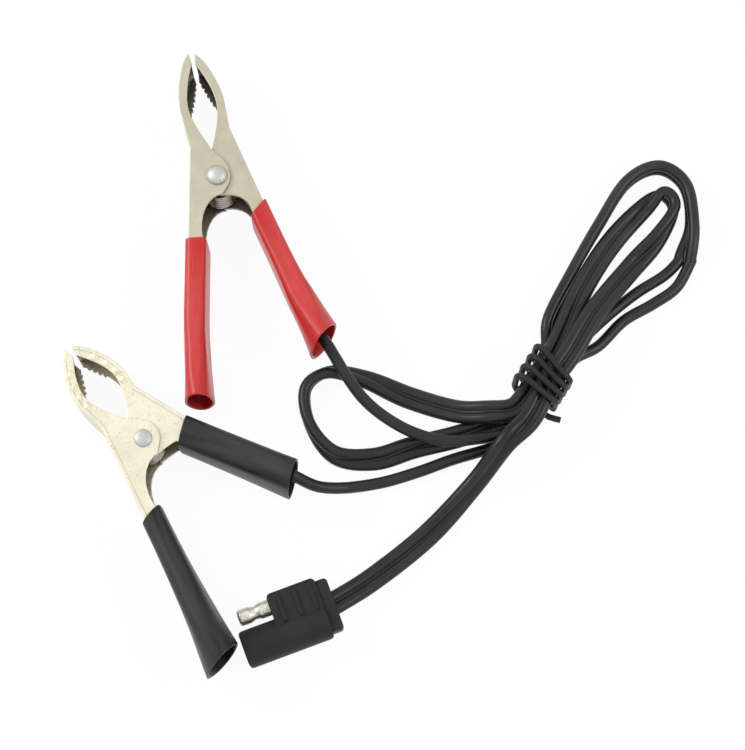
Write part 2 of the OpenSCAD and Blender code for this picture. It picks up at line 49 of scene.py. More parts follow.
# ---- Camera ----
# The lead lies flat on a table and is looked at from above, a little from its
# near side, through a long lens.
look_at = Vector((47 * MM, -3.5 * MM, 0))
tilt = math.radians(14)
distance = 560 * MM
camera = bpy.data.objects.new("camera", bpy.data.cameras.new("camera"))
camera.location = look_at + distance * Vector((0, -math.sin(tilt), math.cos(tilt)))
camera.rotation_euler = (tilt, 0, 0)
camera.data.sensor_width = 36
camera.data.lens = 94.08
camera.data.clip_start = 0.01
bpy.context.scene.collection.objects.link(camera)
bpy.context.scene.camera = camera

# ---- Cable and leads ----
# A flat two-core cable of black PVC over copper, extruded as two round cores with a
# thin neck, so that it can be torn apart by hand. It is torn at the split and goes on
# as two single cores, one to each clip.
core_d = 3.3 * MM

# The connector's place and turn, and how far behind it the strain relief ends
plug_z = 5.2
plug_at = np.array(Vector((25.4, -73.9, plug_z)) * MM)
plug_turn = math.radians(20.5)
plug_out = np.array(Vector((math.cos(plug_turn), math.sin(plug_turn), 0)))
housing_len, relief_len, plug_shift = 24.5, 3.2, 3.35
relief_out = (housing_len / 2 + relief_len - plug_shift) * MM

# x, y and clearance under the cord in mm, and for the flat cable its roll in degrees
cable_route = [
    (47, -62.5, 1, 0), (62.5, -50, 0, 15), (75.5, -36, 1.2, 45), (84, -25.7, 8.6, 38),
    (91, -18.5, 9.6, 0), (96, -9, 9.5, 0), (102.5, 0, 9.5, 0),
    (110, 12.5, 8.2, 0), (121.5, 27.5, 0.8, 0), (129.5, 36.5, 0, 50), (134.5, 45.5, 0, 90),
    (131.5, 50, 0, 90), (126, 46, 0, 35), (116, 35, 1.4, 0), (107, 20.5, 4.2, 0),
    (99, 2.5, 5.8, 0), (93, -7, 5.8, 0), (89.5, -12.4, 5.7, 0), (86, -15.4, 5.6, 0),
    (79.6, -15.8, 5, 0), (70.4, -14.9, 1.8, 0), (57, -10.5, 0, 5), (45, -5.5, 0, 40),
    (34.5, -3.5, 0, 70), (28, -8.5, 0, 90), (29.5, -19, 0, 90), (36.5, -27.5, 0, 60),
    (47.5, -28.5, 0, 25), (58.5, -25, 0, 0), (70.5, -22, 0, 0), (81, -18.5, 0.3, 0),
    (87, -16, 2.1, 0), (93, -7, 2.1, 0), (98, 3, 2, 0),
    (98, 12, 0.6, 60), (104, 25.5, 0, 90), (112.5, 40.5, 0, 90), (121, 53.5, 0, 90),
    (130.5, 58, 0, 90), (138, 52.5, 0, 90), (139.5, 40.5, 0, 80), (137, 29.5, 0, 15),
]
red_route = [
    (131, 25.5, 0), (122.5, 20, 0), (113.5, 12.5, 1.2), (106, 4.5, 4.7), (103.5, -0.5, 5.8),
    (97.5, -10, 5.8), (91.5, -19, 5.3), (85, -22, 4.9), (76, -23.5, 4.6),
    (67, -24, 4.4), (58, -21.4, 4.2), (50.4, -17.2, 4.8), (44.5, -12.3, 5.9),
    (40, -6.4, 7), (36.6, -0.9, 7.7),
]
black_route = [
    (134.5, 22, 0), (127.5, 17, 0), (119, 12, 0), (111.5, 4.5, 0.2), (103.5, -0.5, 2.1),
    (97.5, -10, 2.1), (91.5, -19, 1.8), (86, -23.5, 0.9), (78, -26, 0.1),
    (69.5, -28.5, 0), (60, -32, 0), (50, -35, 0), (40.5, -36.5, 0), (32, -37, 4),
]


def smooth(points, steps):
    """A smooth curve through rows of numbers, with that many steps between two of them."""
    p = [np.array(q, float) for q in points]
    p = [2 * p[0] - p[1]] + p + [2 * p[-1] - p[-2]]
    rows = []
    for a, b, c, d in zip(p, p[1:], p[2:], p[3:]):
        for j in range(steps):
            t = j / steps
            rows.append((2 * b + (c - a) * t + (2 * a - 5 * b + 4 * c - d) * t * t
                         + (3 * b - a - 3 * c + d) * t ** 3) / 2)
    return np.array(rows + [p[-2]])


def add_node(tree, kind, settings=None, inputs=None):
    """A new node with its settings, and a link or a value for each input named."""
    made = tree.nodes.new(kind)
    for name, value in (settings or {}).items():
        setattr(made, name, value)
    for name, value in (inputs or {}).items():
        if isinstance(value, bpy.types.NodeSocket):
            tree.links.new(value, made.inputs[name])
        else:
            made.inputs[name].default_value = value
    return made


def drawn_along(name, normals):
    """Node tree that draws one round core, or two side by side, along a line of points."""
    tree = bpy.data.node_groups.new(name, "GeometryNodeTree")
    for label, kind, value in (
        ("Geometry", "NodeSocketGeometry", None), ("Core radius", "NodeSocketFloat", core_d / 2),
        ("Two cores", "NodeSocketBool", False), ("Neck", "NodeSocketFloat", 0.5),
        ("Sides", "NodeSocketInt", 24), ("Finish", "NodeSocketMaterial", None),
    ):
        socket = tree.interface.new_socket(label, in_out="INPUT", socket_type=kind)
        if value is not None:
            socket.default_value = value
    tree.interface.new_socket("Geometry", in_out="OUTPUT", socket_type="NodeSocketGeometry")
    given = add_node(tree, "NodeGroupInput").outputs
    line = add_node(tree, "GeometryNodeMeshToCurve", None, {"Mesh": given["Geometry"]})
    aimed = add_node(tree, "GeometryNodeSetCurveNormal", {"mode": normals},
                     {"Curve": line.outputs[0]})
    roll = add_node(tree, "GeometryNodeInputNamedAttribute", {"data_type": "FLOAT"},
                    {"Name": "roll"})
    rolled = add_node(tree, "GeometryNodeSetCurveTilt", None,
                      {"Curve": aimed.outputs[0], "Tilt": roll.outputs["Attribute"]})
    run = add_node(tree, "GeometryNodeSplineParameter")
    route = add_node(tree, "GeometryNodeStoreNamedAttribute",
                     {"data_type": "FLOAT", "domain": "POINT"},
                     {"Geometry": rolled.outputs[0], "Name": "along",
                      "Value": run.outputs["Length"]})
    circle = add_node(tree, "GeometryNodeCurvePrimitiveCircle", {"mode": "RADIUS"},
                      {"Resolution": given["Sides"], "Radius": 1.0})
    at = add_node(tree, "GeometryNodeInputPosition").outputs[0]
    xyz = add_node(tree, "ShaderNodeSeparateXYZ", None, {0: at})
    wide = add_node(tree, "ShaderNodeMath", {"operation": "ABSOLUTE"}, {0: xyz.outputs[0]})
    lobe = add_node(tree, "ShaderNodeMath", {"operation": "MULTIPLY"}, {0: wide.outputs[0], 1: 2.0})
    waist = add_node(tree, "ShaderNodeMath", {"operation": "MAXIMUM"},
                     {0: lobe.outputs[0], 1: given["Neck"]})
    reach = add_node(tree, "GeometryNodeSwitch", {"input_type": "FLOAT"},
                     {"Switch": given["Two cores"], "False": 1.0, "True": waist.outputs[0]})
    size = add_node(tree, "ShaderNodeMath", {"operation": "MULTIPLY"},
                    {0: reach.outputs[0], 1: given["Core radius"]})
    spot = add_node(tree, "ShaderNodeVectorMath", {"operation": "SCALE"},
                    {0: at, "Scale": size.outputs[0]})
    outline = add_node(tree, "GeometryNodeSetPosition", None,
                       {"Geometry": circle.outputs[0], "Position": spot.outputs[0]})
    section = add_node(tree, "GeometryNodeStoreNamedAttribute",
                       {"data_type": "FLOAT_VECTOR", "domain": "POINT"},
                       {"Geometry": outline.outputs[0], "Name": "section", "Value": at})
    drawn = add_node(tree, "GeometryNodeCurveToMesh", None,
                     {"Curve": route.outputs[0], "Profile Curve": section.outputs[0],
                      "Fill Caps": True})
    across = add_node(tree, "GeometryNodeInputNamedAttribute", {"data_type": "FLOAT_VECTOR"},
                      {"Name": "section"})
    length = add_node(tree, "GeometryNodeInputNamedAttribute", {"data_type": "FLOAT"},
                      {"Name": "along"})
    parts = add_node(tree, "ShaderNodeSeparateXYZ", None, {0: across.outputs["Attribute"]})
    joined = add_node(tree, "ShaderNodeCombineXYZ", None,
                      {0: parts.outputs[0], 1: parts.outputs[1],
                       2: length.outputs["Attribute"]})
    marked = add_node(tree, "GeometryNodeStoreNamedAttribute",
                      {"data_type": "FLOAT_VECTOR", "domain": "POINT"},
                      {"Geometry": drawn.outputs[0], "Name": "cord_place", "Value": joined.outputs[0]})
    shaded = add_node(tree, "GeometryNodeSetShadeSmooth", None, {"Geometry": marked.outputs[0]})
    whole = add_node(tree, "GeometryNodeRealizeInstances", None, {"Geometry": shaded.outputs[0]})
    done = add_node(tree, "GeometryNodeSetMaterial", None,
                    {"Geometry": whole.outputs[0], "Material": given["Finish"]})
    add_node(tree, "NodeGroupOutput", None, {0: done.outputs[0]})
    return tree


flat_cord = drawn_along("Flat cord", "Z_UP")
round_cord = drawn_along("Round cord", "MINIMUM_TWIST")


def follow(name, tree, path, material, roll=None, **sizes):
    """A plain mesh drawn by the tree along the path, in metres."""
    points = bpy.data.meshes.new(name + "_line")
    points.from_pydata([tuple(p) for p in path], [(i, i + 1) for i in range(len(path) - 1)], [])
    turn = points.attributes.new("roll", "FLOAT", "POINT")
    turn.data.foreach_set("value", np.zeros(len(path)) if roll is None else np.asarray(roll, float))
    line = bpy.data.objects.new(name + "_line", points)
    bpy.context.scene.collection.objects.link(line)
    drawing = line.modifiers.new("drawing", "NODES")
    drawing.node_group = tree
    sockets = {s.name: s.identifier for s in tree.interface.items_tree if s.in_out == "INPUT"}
    drawing[sockets["Finish"]] = material
    for key, value in sizes.items():
        drawing[sockets[key.replace("_", " ").capitalize()]] = value
    graph = bpy.context.evaluated_depsgraph_get()
    mesh = bpy.data.meshes.new_from_object(line.evaluated_get(graph))
    bpy.data.objects.remove(line)
    piece = bpy.data.objects.new(name, mesh)
    mesh.name = name
    bpy.context.scene.collection.objects.link(piece)
    return piece


def new_material(name, colour, roughness, metallic=0.0, **sockets):
    """A material with its Principled BSDF, which keeps every value that doesn't vary."""
    material = bpy.data.materials.new(name)
    material.use_nodes = True
    material.node_tree.nodes.clear()
    shader = add_node(material.node_tree, "ShaderNodeBsdfPrincipled", None, {
        "Base Color": (*colour, 1), "Roughness": roughness, "Metallic": metallic})
    for key, value in sockets.items():
        shader.inputs[key.replace("_", " ")].default_value = value
    add_node(material.node_tree, "ShaderNodeOutputMaterial", None, {"Surface": shader.outputs[0]})
    return material, material.node_tree, shader


def effect(name, inputs, outputs):
    """An empty shader group with named inputs and outputs, and its two end nodes."""
    tree = bpy.data.node_groups.new(name, "ShaderNodeTree")
    for label, kind, value in inputs:
        socket = tree.interface.new_socket(label, in_out="INPUT", socket_type="NodeSocket" + kind)
        if value is not None:
            socket.default_value = value
    for label, kind in outputs:
        tree.interface.new_socket(label, in_out="OUTPUT", socket_type="NodeSocket" + kind)
    return tree, add_node(tree, "NodeGroupInput").outputs, add_node(tree, "NodeGroupOutput")


# Skin of extruded and moulded PVC: a fine haze of grain, and broad patches of handling
pvc_skin, given, result = effect("PVC skin", (
    ("Vector", "Vector", None), ("Grain scale", "Float", 1800.0), ("Patch scale", "Float", 60.0),
    ("Dull", "Float", 0.12), ("Colour", "Color", (0.02, 0.02, 0.02, 1)),
    ("Rubbed colour", "Color", (0.04, 0.04, 0.04, 1)), ("Roughness", "Float", 0.4),
), (("Colour", "Color"), ("Roughness", "Float"), ("Height", "Float")))
grain = add_node(pvc_skin, "ShaderNodeTexNoise", None, {
    "Vector": given["Vector"], "Scale": given["Grain scale"], "Detail": 3.0, "Roughness": 0.6})
patches = add_node(pvc_skin, "ShaderNodeTexNoise", None, {
    "Vector": given["Vector"], "Scale": given["Patch scale"], "Detail": 4.0, "Roughness": 0.65})
patch = add_node(pvc_skin, "ShaderNodeMapRange", None, {
    "Value": patches.outputs["Fac"], "From Min": 0.38, "From Max": 0.72})
rubbed = add_node(pvc_skin, "ShaderNodeMix", {"data_type": "RGBA"}, {
    "Factor": patch.outputs[0], 6: given["Colour"], 7: given["Rubbed colour"]})
duller = add_node(pvc_skin, "ShaderNodeMath", {"operation": "MULTIPLY_ADD"}, {
    0: patch.outputs[0], 1: given["Dull"], 2: given["Roughness"]})
pvc_skin.links.new(rubbed.outputs[2], result.inputs["Colour"])
pvc_skin.links.new(duller.outputs[0], result.inputs["Roughness"])
pvc_skin.links.new(grain.outputs["Fac"], result.inputs["Height"])


def pvc(name, colour, rubbed_colour, roughness, coordinates, stretch=(1, 1, 1), bump=0.15,
        edge=0, **sockets):
    """A PVC finish. coordinates is "Object" or the name of an attribute, edge the edges' radius."""
    values = {"grain_scale": 1800.0, "patch_scale": 60.0, "dull": 0.12}
    values.update({k: sockets.pop(k) for k in list(sockets) if k in values})
    material, tree, shader = new_material(name, colour, roughness, **sockets)
    if coordinates == "Object":
        place = add_node(tree, "ShaderNodeTexCoord").outputs["Object"]
    else:
        named = add_node(tree, "ShaderNodeAttribute", {"attribute_name": coordinates})
        place = named.outputs["Vector"]
    spread = add_node(tree, "ShaderNodeMapping", None, {"Vector": place, "Scale": stretch})
    skin = add_node(tree, "ShaderNodeGroup", {"node_tree": pvc_skin}, {
        "Vector": spread.outputs[0], "Grain scale": values["grain_scale"],
        "Patch scale": values["patch_scale"], "Dull": values["dull"], "Colour": (*colour, 1),
        "Rubbed colour": (*rubbed_colour, 1), "Roughness": roughness})
    relief = add_node(tree, "ShaderNodeBump", None, {
        "Strength": bump, "Distance": 0.0001, "Height": skin.outputs["Height"]})
    tree.links.new(skin.outputs["Colour"], shader.inputs["Base Color"])
    tree.links.new(skin.outputs["Roughness"], shader.inputs["Roughness"])
    if edge:
        round_edge = add_node(tree, "ShaderNodeBevel", {"samples": 8}, {"Radius": edge})
        tree.links.new(round_edge.outputs[0], relief.inputs["Normal"])
    tree.links.new(relief.outputs[0], shader.inputs["Normal"])
    return material


# The cord's own coordinates run -1 to 1 across it and in metres along it
cable_black = pvc("cable PVC", (0.006, 0.006, 0.0062), (0.037, 0.037, 0.038), 0.32, "cord_place",
                  stretch=(1, 1, 14), bump=0.1, grain_scale=9.0, patch_scale=1.3,
                  Specular_IOR_Level=0.35)

# The cable starts inside the relief, in the middle of the connector's height
into_relief, curve_steps = 1.5 * MM, 8
from_plug = (plug_at + (relief_out - into_relief) * plug_out) / MM
rows = smooth([(from_plug[0], from_plug[1], plug_z - core_d / 2 / MM, 0)] + cable_route, curve_steps)
roll = np.radians(rows[:, 3])
cable_path = np.column_stack([
    rows[:, 0] * MM, rows[:, 1] * MM,
    np.maximum(0, rows[:, 2]) * MM + core_d / 2 * (1 + np.abs(np.sin(roll)))])
two_core_cable = follow("flat_cable", flat_cord, cable_path, cable_black, roll,
                        core_radius=core_d / 2, two_cores=True, sides=56)
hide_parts("two_core_cable")
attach(two_core_cable, "lead_and_clips")

# Where each clip's rivet stands, how the clip is turned, and the height of its middle
clip_at = {"red": (2.9, 50.4), "black": (-15.9, -25.8)}
clip_turn = {"red": 12.3, "black": 40.1}
mid_z = 10


def core_off(i):
    """From the cable's middle line to the middle of one core, at a point counted from its end."""
    way = cable_path[i] - cable_path[i - 1]
    way /= np.linalg.norm(way)
    level = np.cross((0, 0, 1), way)
    level /= np.linalg.norm(level)
    return core_d / 2 * (level * math.cos(roll[i]) + np.cross(way, level) * math.sin(roll[i]))


def on_table(clip, x, y, z=mid_z):
    """A point of a clip's own plane, tip along +Y and pivot at 0, put on the table, in metres."""
    a = math.radians(clip_turn[clip])
    return np.array((clip_at[clip][0] + x * math.cos(a) - y * math.sin(a),
                     clip_at[clip][1] + x * math.sin(a) + y * math.cos(a), z)) * MM


# Each handle's back at its sleeve's mouth, its slope and width, its sleeve's length, and
# how far the steel reaches into the sleeve
knee = {("red", "outer"): (11.4241, -16.7), ("red", "inner"): (11.5179, -10.9),
        ("black", "outer"): (13.5238, -17), ("black", "inner"): (12.9273, -3)}
grip_turn = {("red", "outer"): 12, ("red", "inner"): 12.6,
             ("black", "outer"): 13.4, ("black", "inner"): 27.2}
handle_w = {("red", "outer"): 4, ("red", "inner"): 4,
            ("black", "outer"): 4.4, ("black", "inner"): 7}
sleeve_len = {("red", "outer"): 45.5, ("red", "inner"): 42,
              ("black", "outer"): 44, ("black", "inner"): 33}
grip_len = 26
in_from_back = 2.5


def wire_spot(clip, t, aside=0):
    """Where the conductor lies inside the wired sleeve, t from its mouth and that far off its line."""
    a = math.radians(grip_turn[clip, "inner"])
    x, y = knee[clip, "inner"]
    return on_table(clip, x + (aside - in_from_back) * math.cos(a) + t * math.sin(a),
                    y + (aside - in_from_back) * math.sin(a) - t * math.cos(a))


# Where the cores part, one lead goes on from each side of the neck. It starts inside the
# cable, and ends in its clip's wired sleeve, against the bared strands.
right = np.sign(core_off(-1)[0])
in_cable = (-4, -3, -2, -1)
mouth_aside = {"red": 1.9, "black": 0}
in_sleeve = (grip_len + 6, grip_len + 1.1)
for clip, side, route in (("red", -right, red_route), ("black", right, black_route)):
    start = cable_path[-1] + side * core_off(-1)
    stops = [(cable_path[i] + side * core_off(i)) / MM for i in in_cable]
    stops += [(x, y, z + core_d / 2 / MM) for x, y, z in route]
    stops += [wire_spot(clip, sleeve_len[clip, "inner"], mouth_aside[clip]) / MM]
    stops += [wire_spot(clip, t) / MM for t in in_sleeve]
    path = smooth(stops, curve_steps) * MM
    path[:, 2] = np.maximum(path[:, 2], core_d / 2 + 0.02 * MM)
    lead = follow(clip + "_single_lead", round_cord, path, cable_black,
                  core_radius=1.003 * core_d / 2, sides=32)
    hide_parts(clip + "_lead")
    if clip == "red":
        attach(lead, "lead_and_clips")
    else:
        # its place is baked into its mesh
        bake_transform(lead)

# ---- Cable tie ----
# A soft steel wire in a thick black PVC coat, wound four times round the bundle and
# bent over at both ends.
core_step, lay_gap, tie_d = 3.7, 0.25, 1.8
# Where the winding starts along the bundle, its way from turn to turn, and the lean of
# its first and last turn
tie_turns, tie_from, tie_drop, tie_slant = 4, 7.2, 2.93, (2.5, 0.62)
tie_at = np.array((94.5, -7.9, 7.45))
tie_turn = math.radians(56.9)
tie_reach = core_d / 2 / MM + lay_gap + tie_d / 2


def tie_spot(t):
    """A point of the winding: across the bundle, up and along it, t in turns from 0."""
    a = math.radians(t * 360 - 90)
    quarter = int(t * 4) % 4
    right = 1 if quarter in (0, 1) else -1
    upper = 1 if quarter in (1, 2) else -1
    slant = tie_slant[0] + (tie_slant[1] - tie_slant[0]) * t / tie_turns
    n = right * core_step + tie_reach * math.cos(a)
    u = upper * core_step + tie_reach * math.sin(a)
    return n, u, tie_from - tie_drop * t - slant * n / (core_step + tie_reach)


# Round each corner of the bundle in eight points, and straight on to the next corner
corner_points = np.minimum(0.999, np.arange(8) / 7)
wound = [tie_spot((q + p) / 4) for q in range(4 * tie_turns) for p in corner_points]
low = wound[0][1]
tie_line = [(wound[0][0] - 2 * tie_d, low, wound[0][2] + 0.8)] + wound
tie_tail = ((0, -4.8), (3.7, -5.4), (6.6, -5.4), (8, -5), (9.8, -4.4))
tie_line += [(n, low, s) for n, s in tie_tail]
across_bundle = np.array((math.sin(tie_turn), -math.cos(tie_turn), 0))
along_bundle = np.array((math.cos(tie_turn), math.sin(tie_turn), 0))
tie_path = np.array([tie_at + n * across_bundle + (0, 0, u) + s * along_bundle
                     for n, u, s in tie_line]) * MM
tie_black = pvc("tie PVC", (0.014, 0.014, 0.014), (0.024, 0.024, 0.023), 0.42, "cord_place",
                stretch=(1, 1, 14), bump=0.1, grain_scale=9.0, patch_scale=1.3,
                Specular_IOR_Level=0.3)
tie = follow("wire_tie", round_cord, tie_path, tie_black, core_radius=tie_d / 2 * MM, sides=24)
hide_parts("cable_tie")
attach(tie, "lead_and_clips")

# ---- Quick connector ----
# One moulding of soft black PVC round a pin and a socket contact of tinned brass. The
# pin stands bare beside the barrel, and three bars on each face give the fingers a hold.
housing_black = pvc("connector PVC", (0.011, 0.011, 0.0115), (0.02, 0.02, 0.02), 0.5, "Object",
                    bump=0.4, edge=0.7 * MM, grain_scale=2600.0, patch_scale=90.0,
                    Specular_IOR_Level=0.3)


def dress(node, material):
    """Gives a CAD node its finish."""
    mesh = nodes[node].data
    mesh.materials.clear()
    mesh.materials.append(material)


dress("connector_housing", housing_black)

# The strain relief's collar, nearly as wide as the moulding: half its length, width and
# height, and how far it stands out past the relief
collar_half, collar_proud = np.array((2.15, 7.5, 3.5)), 0.05
across_plug = np.array((-math.sin(plug_turn), math.cos(plug_turn), 0))
collar_at = plug_at / MM + (relief_out / MM + collar_proud - collar_half[0]) * plug_out
corners = [collar_half * (x, y, z) for x in (-1, 1) for y in (-1, 1) for z in (-1, 1)]
collar_mesh = bpy.data.meshes.new("relief_collar")
collar_mesh.from_pydata(
    [tuple((collar_at + x * plug_out + y * across_plug + (0, 0, z)) * MM) for x, y, z in corners],
    [], [(0, 1, 3, 2), (4, 6, 7, 5), (0, 4, 5, 1), (2, 3, 7, 6), (0, 2, 6, 4), (1, 5, 7, 3)])
collar_mesh.materials.append(housing_black)
collar = bpy.data.objects.new("relief_collar", collar_mesh)
bpy.context.scene.collection.objects.link(collar)
rounding = collar.modifiers.new("rounding", "BEVEL")
rounding.width = 1.1 * MM
rounding.segments = 5
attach(collar, "lead_and_clips")

tin, tin_tree, tin_shader = new_material("tinned contact", (0.55, 0.53, 0.46), 0.4, 1.0)
place = add_node(tin_tree, "ShaderNodeTexCoord").outputs["Object"]
pits = add_node(tin_tree, "ShaderNodeTexNoise", None, {
    "Vector": place, "Scale": 1500.0, "Detail": 4.0, "Roughness": 0.7})
pitted = add_node(tin_tree, "ShaderNodeMapRange", None, {
    "Value": pits.outputs["Fac"], "From Min": 0.34, "From Max": 0.46})
tint = add_node(tin_tree, "ShaderNodeMix", {"data_type": "RGBA"}, {
    "Factor": pitted.outputs[0], 6: (0.3, 0.27, 0.2, 1), 7: (0.7, 0.68, 0.6, 1)})
pocked = add_node(tin_tree, "ShaderNodeBump", None, {
    "Strength": 0.6, "Distance": 0.0002, "Height": pits.outputs["Fac"]})
tin_tree.links.new(tint.outputs[2], tin_shader.inputs["Base Color"])
tin_tree.links.new(pocked.outputs[0], tin_shader.inputs["Normal"])
dress("male_terminal", tin)
dress("female_terminal", tin)

# ---- Clip levers ----
# Each lever is a channel pressed from steel sheet and nickel plated: two cheeks with
# the toothed jaw, joined along the back by the web. The red clip's plate is satin and
# the black clip's bright. Inside the channel, where ambient occlusion is low, a dark
# brown painted shade is mixed into the plate's colour.
plated, given, result = effect("Nickel plate", (
    ("Colour", "Color", (0.6, 0.57, 0.46, 1)), ("Painted shade colour", "Color", (0.06, 0.05, 0.035, 1)),
    ("Vector", "Vector", None), ("Roughness", "Float", 0.35), ("Speckle", "Float", 0.3),
    ("Painted shade", "Float", 0.0),
), (("Colour", "Color"), ("Roughness", "Float"), ("Height", "Float")))
mottle = add_node(plated, "ShaderNodeTexNoise", None, {
    "Vector": given["Vector"], "Scale": 1500.0, "Detail": 4.0, "Roughness": 0.7})
clouds = add_node(plated, "ShaderNodeTexNoise", None, {
    "Vector": given["Vector"], "Scale": 90.0, "Detail": 3.0, "Roughness": 0.6})
spots = add_node(plated, "ShaderNodeMapRange", None, {
    "Value": mottle.outputs["Fac"], "From Min": 0.3, "From Max": 0.42, "To Min": 1.0, "To Max": 0.0})
spotted = add_node(plated, "ShaderNodeMath", {"operation": "MULTIPLY"}, {
    0: spots.outputs[0], 1: given["Speckle"]})
cloudy = add_node(plated, "ShaderNodeMapRange", None, {
    "Value": clouds.outputs["Fac"], "From Min": 0.3, "From Max": 0.7, "To Min": 0.88, "To Max": 1.05})
shade = add_node(plated, "ShaderNodeVectorMath", {"operation": "SCALE"}, {
    0: given["Colour"], "Scale": cloudy.outputs[0]})
marked = add_node(plated, "ShaderNodeMix", {"data_type": "RGBA"}, {
    "Factor": spotted.outputs[0], 6: shade.outputs[0], 7: (0.2, 0.15, 0.07, 1)})
# painted shade: a dark brown mixed into the plate's colour inside the channel
inside = add_node(plated, "ShaderNodeMix", {"data_type": "RGBA"}, {
    "Factor": given["Painted shade"], 6: marked.outputs[2], 7: given["Painted shade colour"]})
rougher = add_node(plated, "ShaderNodeMath", {"operation": "MULTIPLY_ADD"}, {
    0: mottle.outputs["Fac"], 1: 0.12, 2: given["Roughness"]})
plated.links.new(inside.outputs[2], result.inputs["Colour"])
plated.links.new(rougher.outputs[0], result.inputs["Roughness"])
plated.links.new(mottle.outputs["Fac"], result.inputs["Height"])


def steel(name, colour, roughness, speckle, edge):
    """Plated sheet with softly rounded edges of that radius, with painted shade inside the channel,
    where ambient occlusion is low.
    """
    material, tree, shader = new_material(name, colour, roughness, 1.0)
    coordinates = add_node(tree, "ShaderNodeTexCoord").outputs["Object"]
    # painted shade: ambient occlusion finds the channel's inside, and its colour is darkened there
    open_sky = add_node(tree, "ShaderNodeAmbientOcclusion", {"samples": 6}, {"Distance": 0.012})
    painted_shade = add_node(tree, "ShaderNodeMapRange", None, {
        "Value": open_sky.outputs["AO"], "From Min": 0.25, "From Max": 0.6,
        "To Min": 0.9, "To Max": 0.0})
    plate = add_node(tree, "ShaderNodeGroup", {"node_tree": plated}, {
        "Colour": (*colour, 1), "Vector": coordinates, "Roughness": roughness,
        "Speckle": speckle, "Painted shade": painted_shade.outputs[0]})
    relief = add_node(tree, "ShaderNodeBump", None, {
        "Strength": 0.12, "Distance": 0.00008, "Height": plate.outputs["Height"]})
    if edge:
        round_edge = add_node(tree, "ShaderNodeBevel", {"samples": 6}, {"Radius": edge})
        tree.links.new(round_edge.outputs[0], relief.inputs["Normal"])
    tree.links.new(plate.outputs["Colour"], shader.inputs["Base Color"])
    tree.links.new(plate.outputs["Roughness"], shader.inputs["Roughness"])
    tree.links.new(relief.outputs[0], shader.inputs["Normal"])
    return material


satin_plate = steel("satin nickel plate", (0.55, 0.51, 0.4), 0.42, 0.3, 0.00025)
bright_plate = steel("bright nickel plate", (0.84, 0.79, 0.63), 0.32, 0.55, 0.0003)
fluted_plate = steel("bright nickel plate, fluted", (0.78, 0.71, 0.54), 0.46, 0.55, 0)
for clip, plate in (("red", satin_plate), ("black", bright_plate)):
    for part in ("inner_lever", "outer_lever", "crimp"):
        dress(f"{clip}_{part}", plate)

# Four round flutes are pressed across the band of each jaw of the black clip, from its
# mouth to its back. Both edges are given in shares of the jaw's half width and length,
# and each flute by a point of the one and a point of the other. It is sunk a little,
# and has n points along it and m across it.
jaw_half, jaw_len, flute_rise, flute_half_w, sunk = 8, 33.5, 0.26, 1.5, 0.01
flute_ends = ((9, 21), (13, 17), (17, 13), (21, 9))
n, m = 17, 11
for side, sign, half_h, neck, body in (
    ("outer", -1, 8, (0.875, 0.28), "lead_and_clips"),
    ("inner", 1, 6.85, (0.93, 0.4), "black_wired_lever"),
):
    mouth = smooth([(jaw_half * x, jaw_len * y) for x, y in (
        (0, 0.21), (0.44, 0.4), (0.62, 0.53), (0.61, 0.64), (0.42, 0.77), (0.06, 0.915))], 5)
    back = smooth([(jaw_half * x, jaw_len * y) for x, y in (
        (0.13, 1), (0.46, 0.925), (0.78, 0.79), (0.97, 0.65), (1, 0.53), neck)], 5)
    verts, faces = [], []
    for i, j in flute_ends:
        along_flute = (back[j] - mouth[i]) / np.linalg.norm(back[j] - mouth[i])
        over = np.array((-along_flute[1], along_flute[0]))
        first, last = mouth[i] + 0.3 * along_flute, back[j] - 0.6 * along_flute
        for cheek in (-1, 1):
            base = len(verts)
            for p in np.linspace(0, 1, n):
                for q in np.linspace(-1, 1, m):
                    swelling = (0.5 + 0.5 * math.cos(math.pi * q)) * (1 - abs(2 * p - 1) ** 3)
                    z = half_h - sunk + (flute_rise + sunk) * swelling
                    x, y = first + p * (last - first) + q * flute_half_w * over
                    verts.append(tuple(on_table("black", sign * x, y, mid_z + cheek * z)))
            # the raised face in quads, closed by one face underneath along its edge
            grid = base + np.arange(n * m).reshape(n, m)
            quads = np.stack((grid[:-1, :-1], grid[1:, :-1], grid[1:, 1:], grid[:-1, 1:]), axis=2)
            rim_line = np.concatenate((grid[0], grid[1:, -1], grid[-1, -2::-1], grid[-2:0:-1, 0]))
            flute = quads.reshape(-1, 4).tolist() + [rim_line.tolist()]
            faces += flute if sign * cheek > 0 else [f[::-1] for f in flute]
    flute_mesh = bpy.data.meshes.new(f"black_{side}_flutes")
    flute_mesh.from_pydata(verts, [], faces)
    flute_mesh.shade_smooth()
    flute_mesh.materials.append(fluted_plate)
    flutes = bpy.data.objects.new(f"black_{side}_flutes", flute_mesh)
    bpy.context.scene.collection.objects.link(flutes)
    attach(flutes, body)

# ---- Rivets, springs and conductors ----
# A solid steel rivet, headed over at both ends, holds each clip together. Round it sits
# a torsion spring of bare steel wire, and a bundle of copper strands ends in the crimp.
rivet_steel = steel("rivet steel", (0.54, 0.54, 0.52), 0.5, 0.8, 0.0002)
for clip in ("red", "black"):
    dress(f"{clip}_rivet", rivet_steel)

wire_steel, wire_tree, wire_shader = new_material("spring steel", (0.34, 0.31, 0.27), 0.32, 1.0)
place = add_node(wire_tree, "ShaderNodeAttribute", {"attribute_name": "cord_place"}).outputs["Vector"]
draw = add_node(wire_tree, "ShaderNodeMapping", None, {"Vector": place, "Scale": (1, 1, 40)})
lines = add_node(wire_tree, "ShaderNodeTexNoise", None, {
    "Vector": draw.outputs[0], "Scale": 7.0, "Detail": 3.0})
drawn_tint = add_node(wire_tree, "ShaderNodeMix", {"data_type": "RGBA"}, {
    "Factor": lines.outputs["Fac"], 6: (0.25, 0.22, 0.18, 1), 7: (0.5, 0.47, 0.42, 1)})
wire_tree.links.new(drawn_tint.outputs[2], wire_shader.inputs["Base Color"])

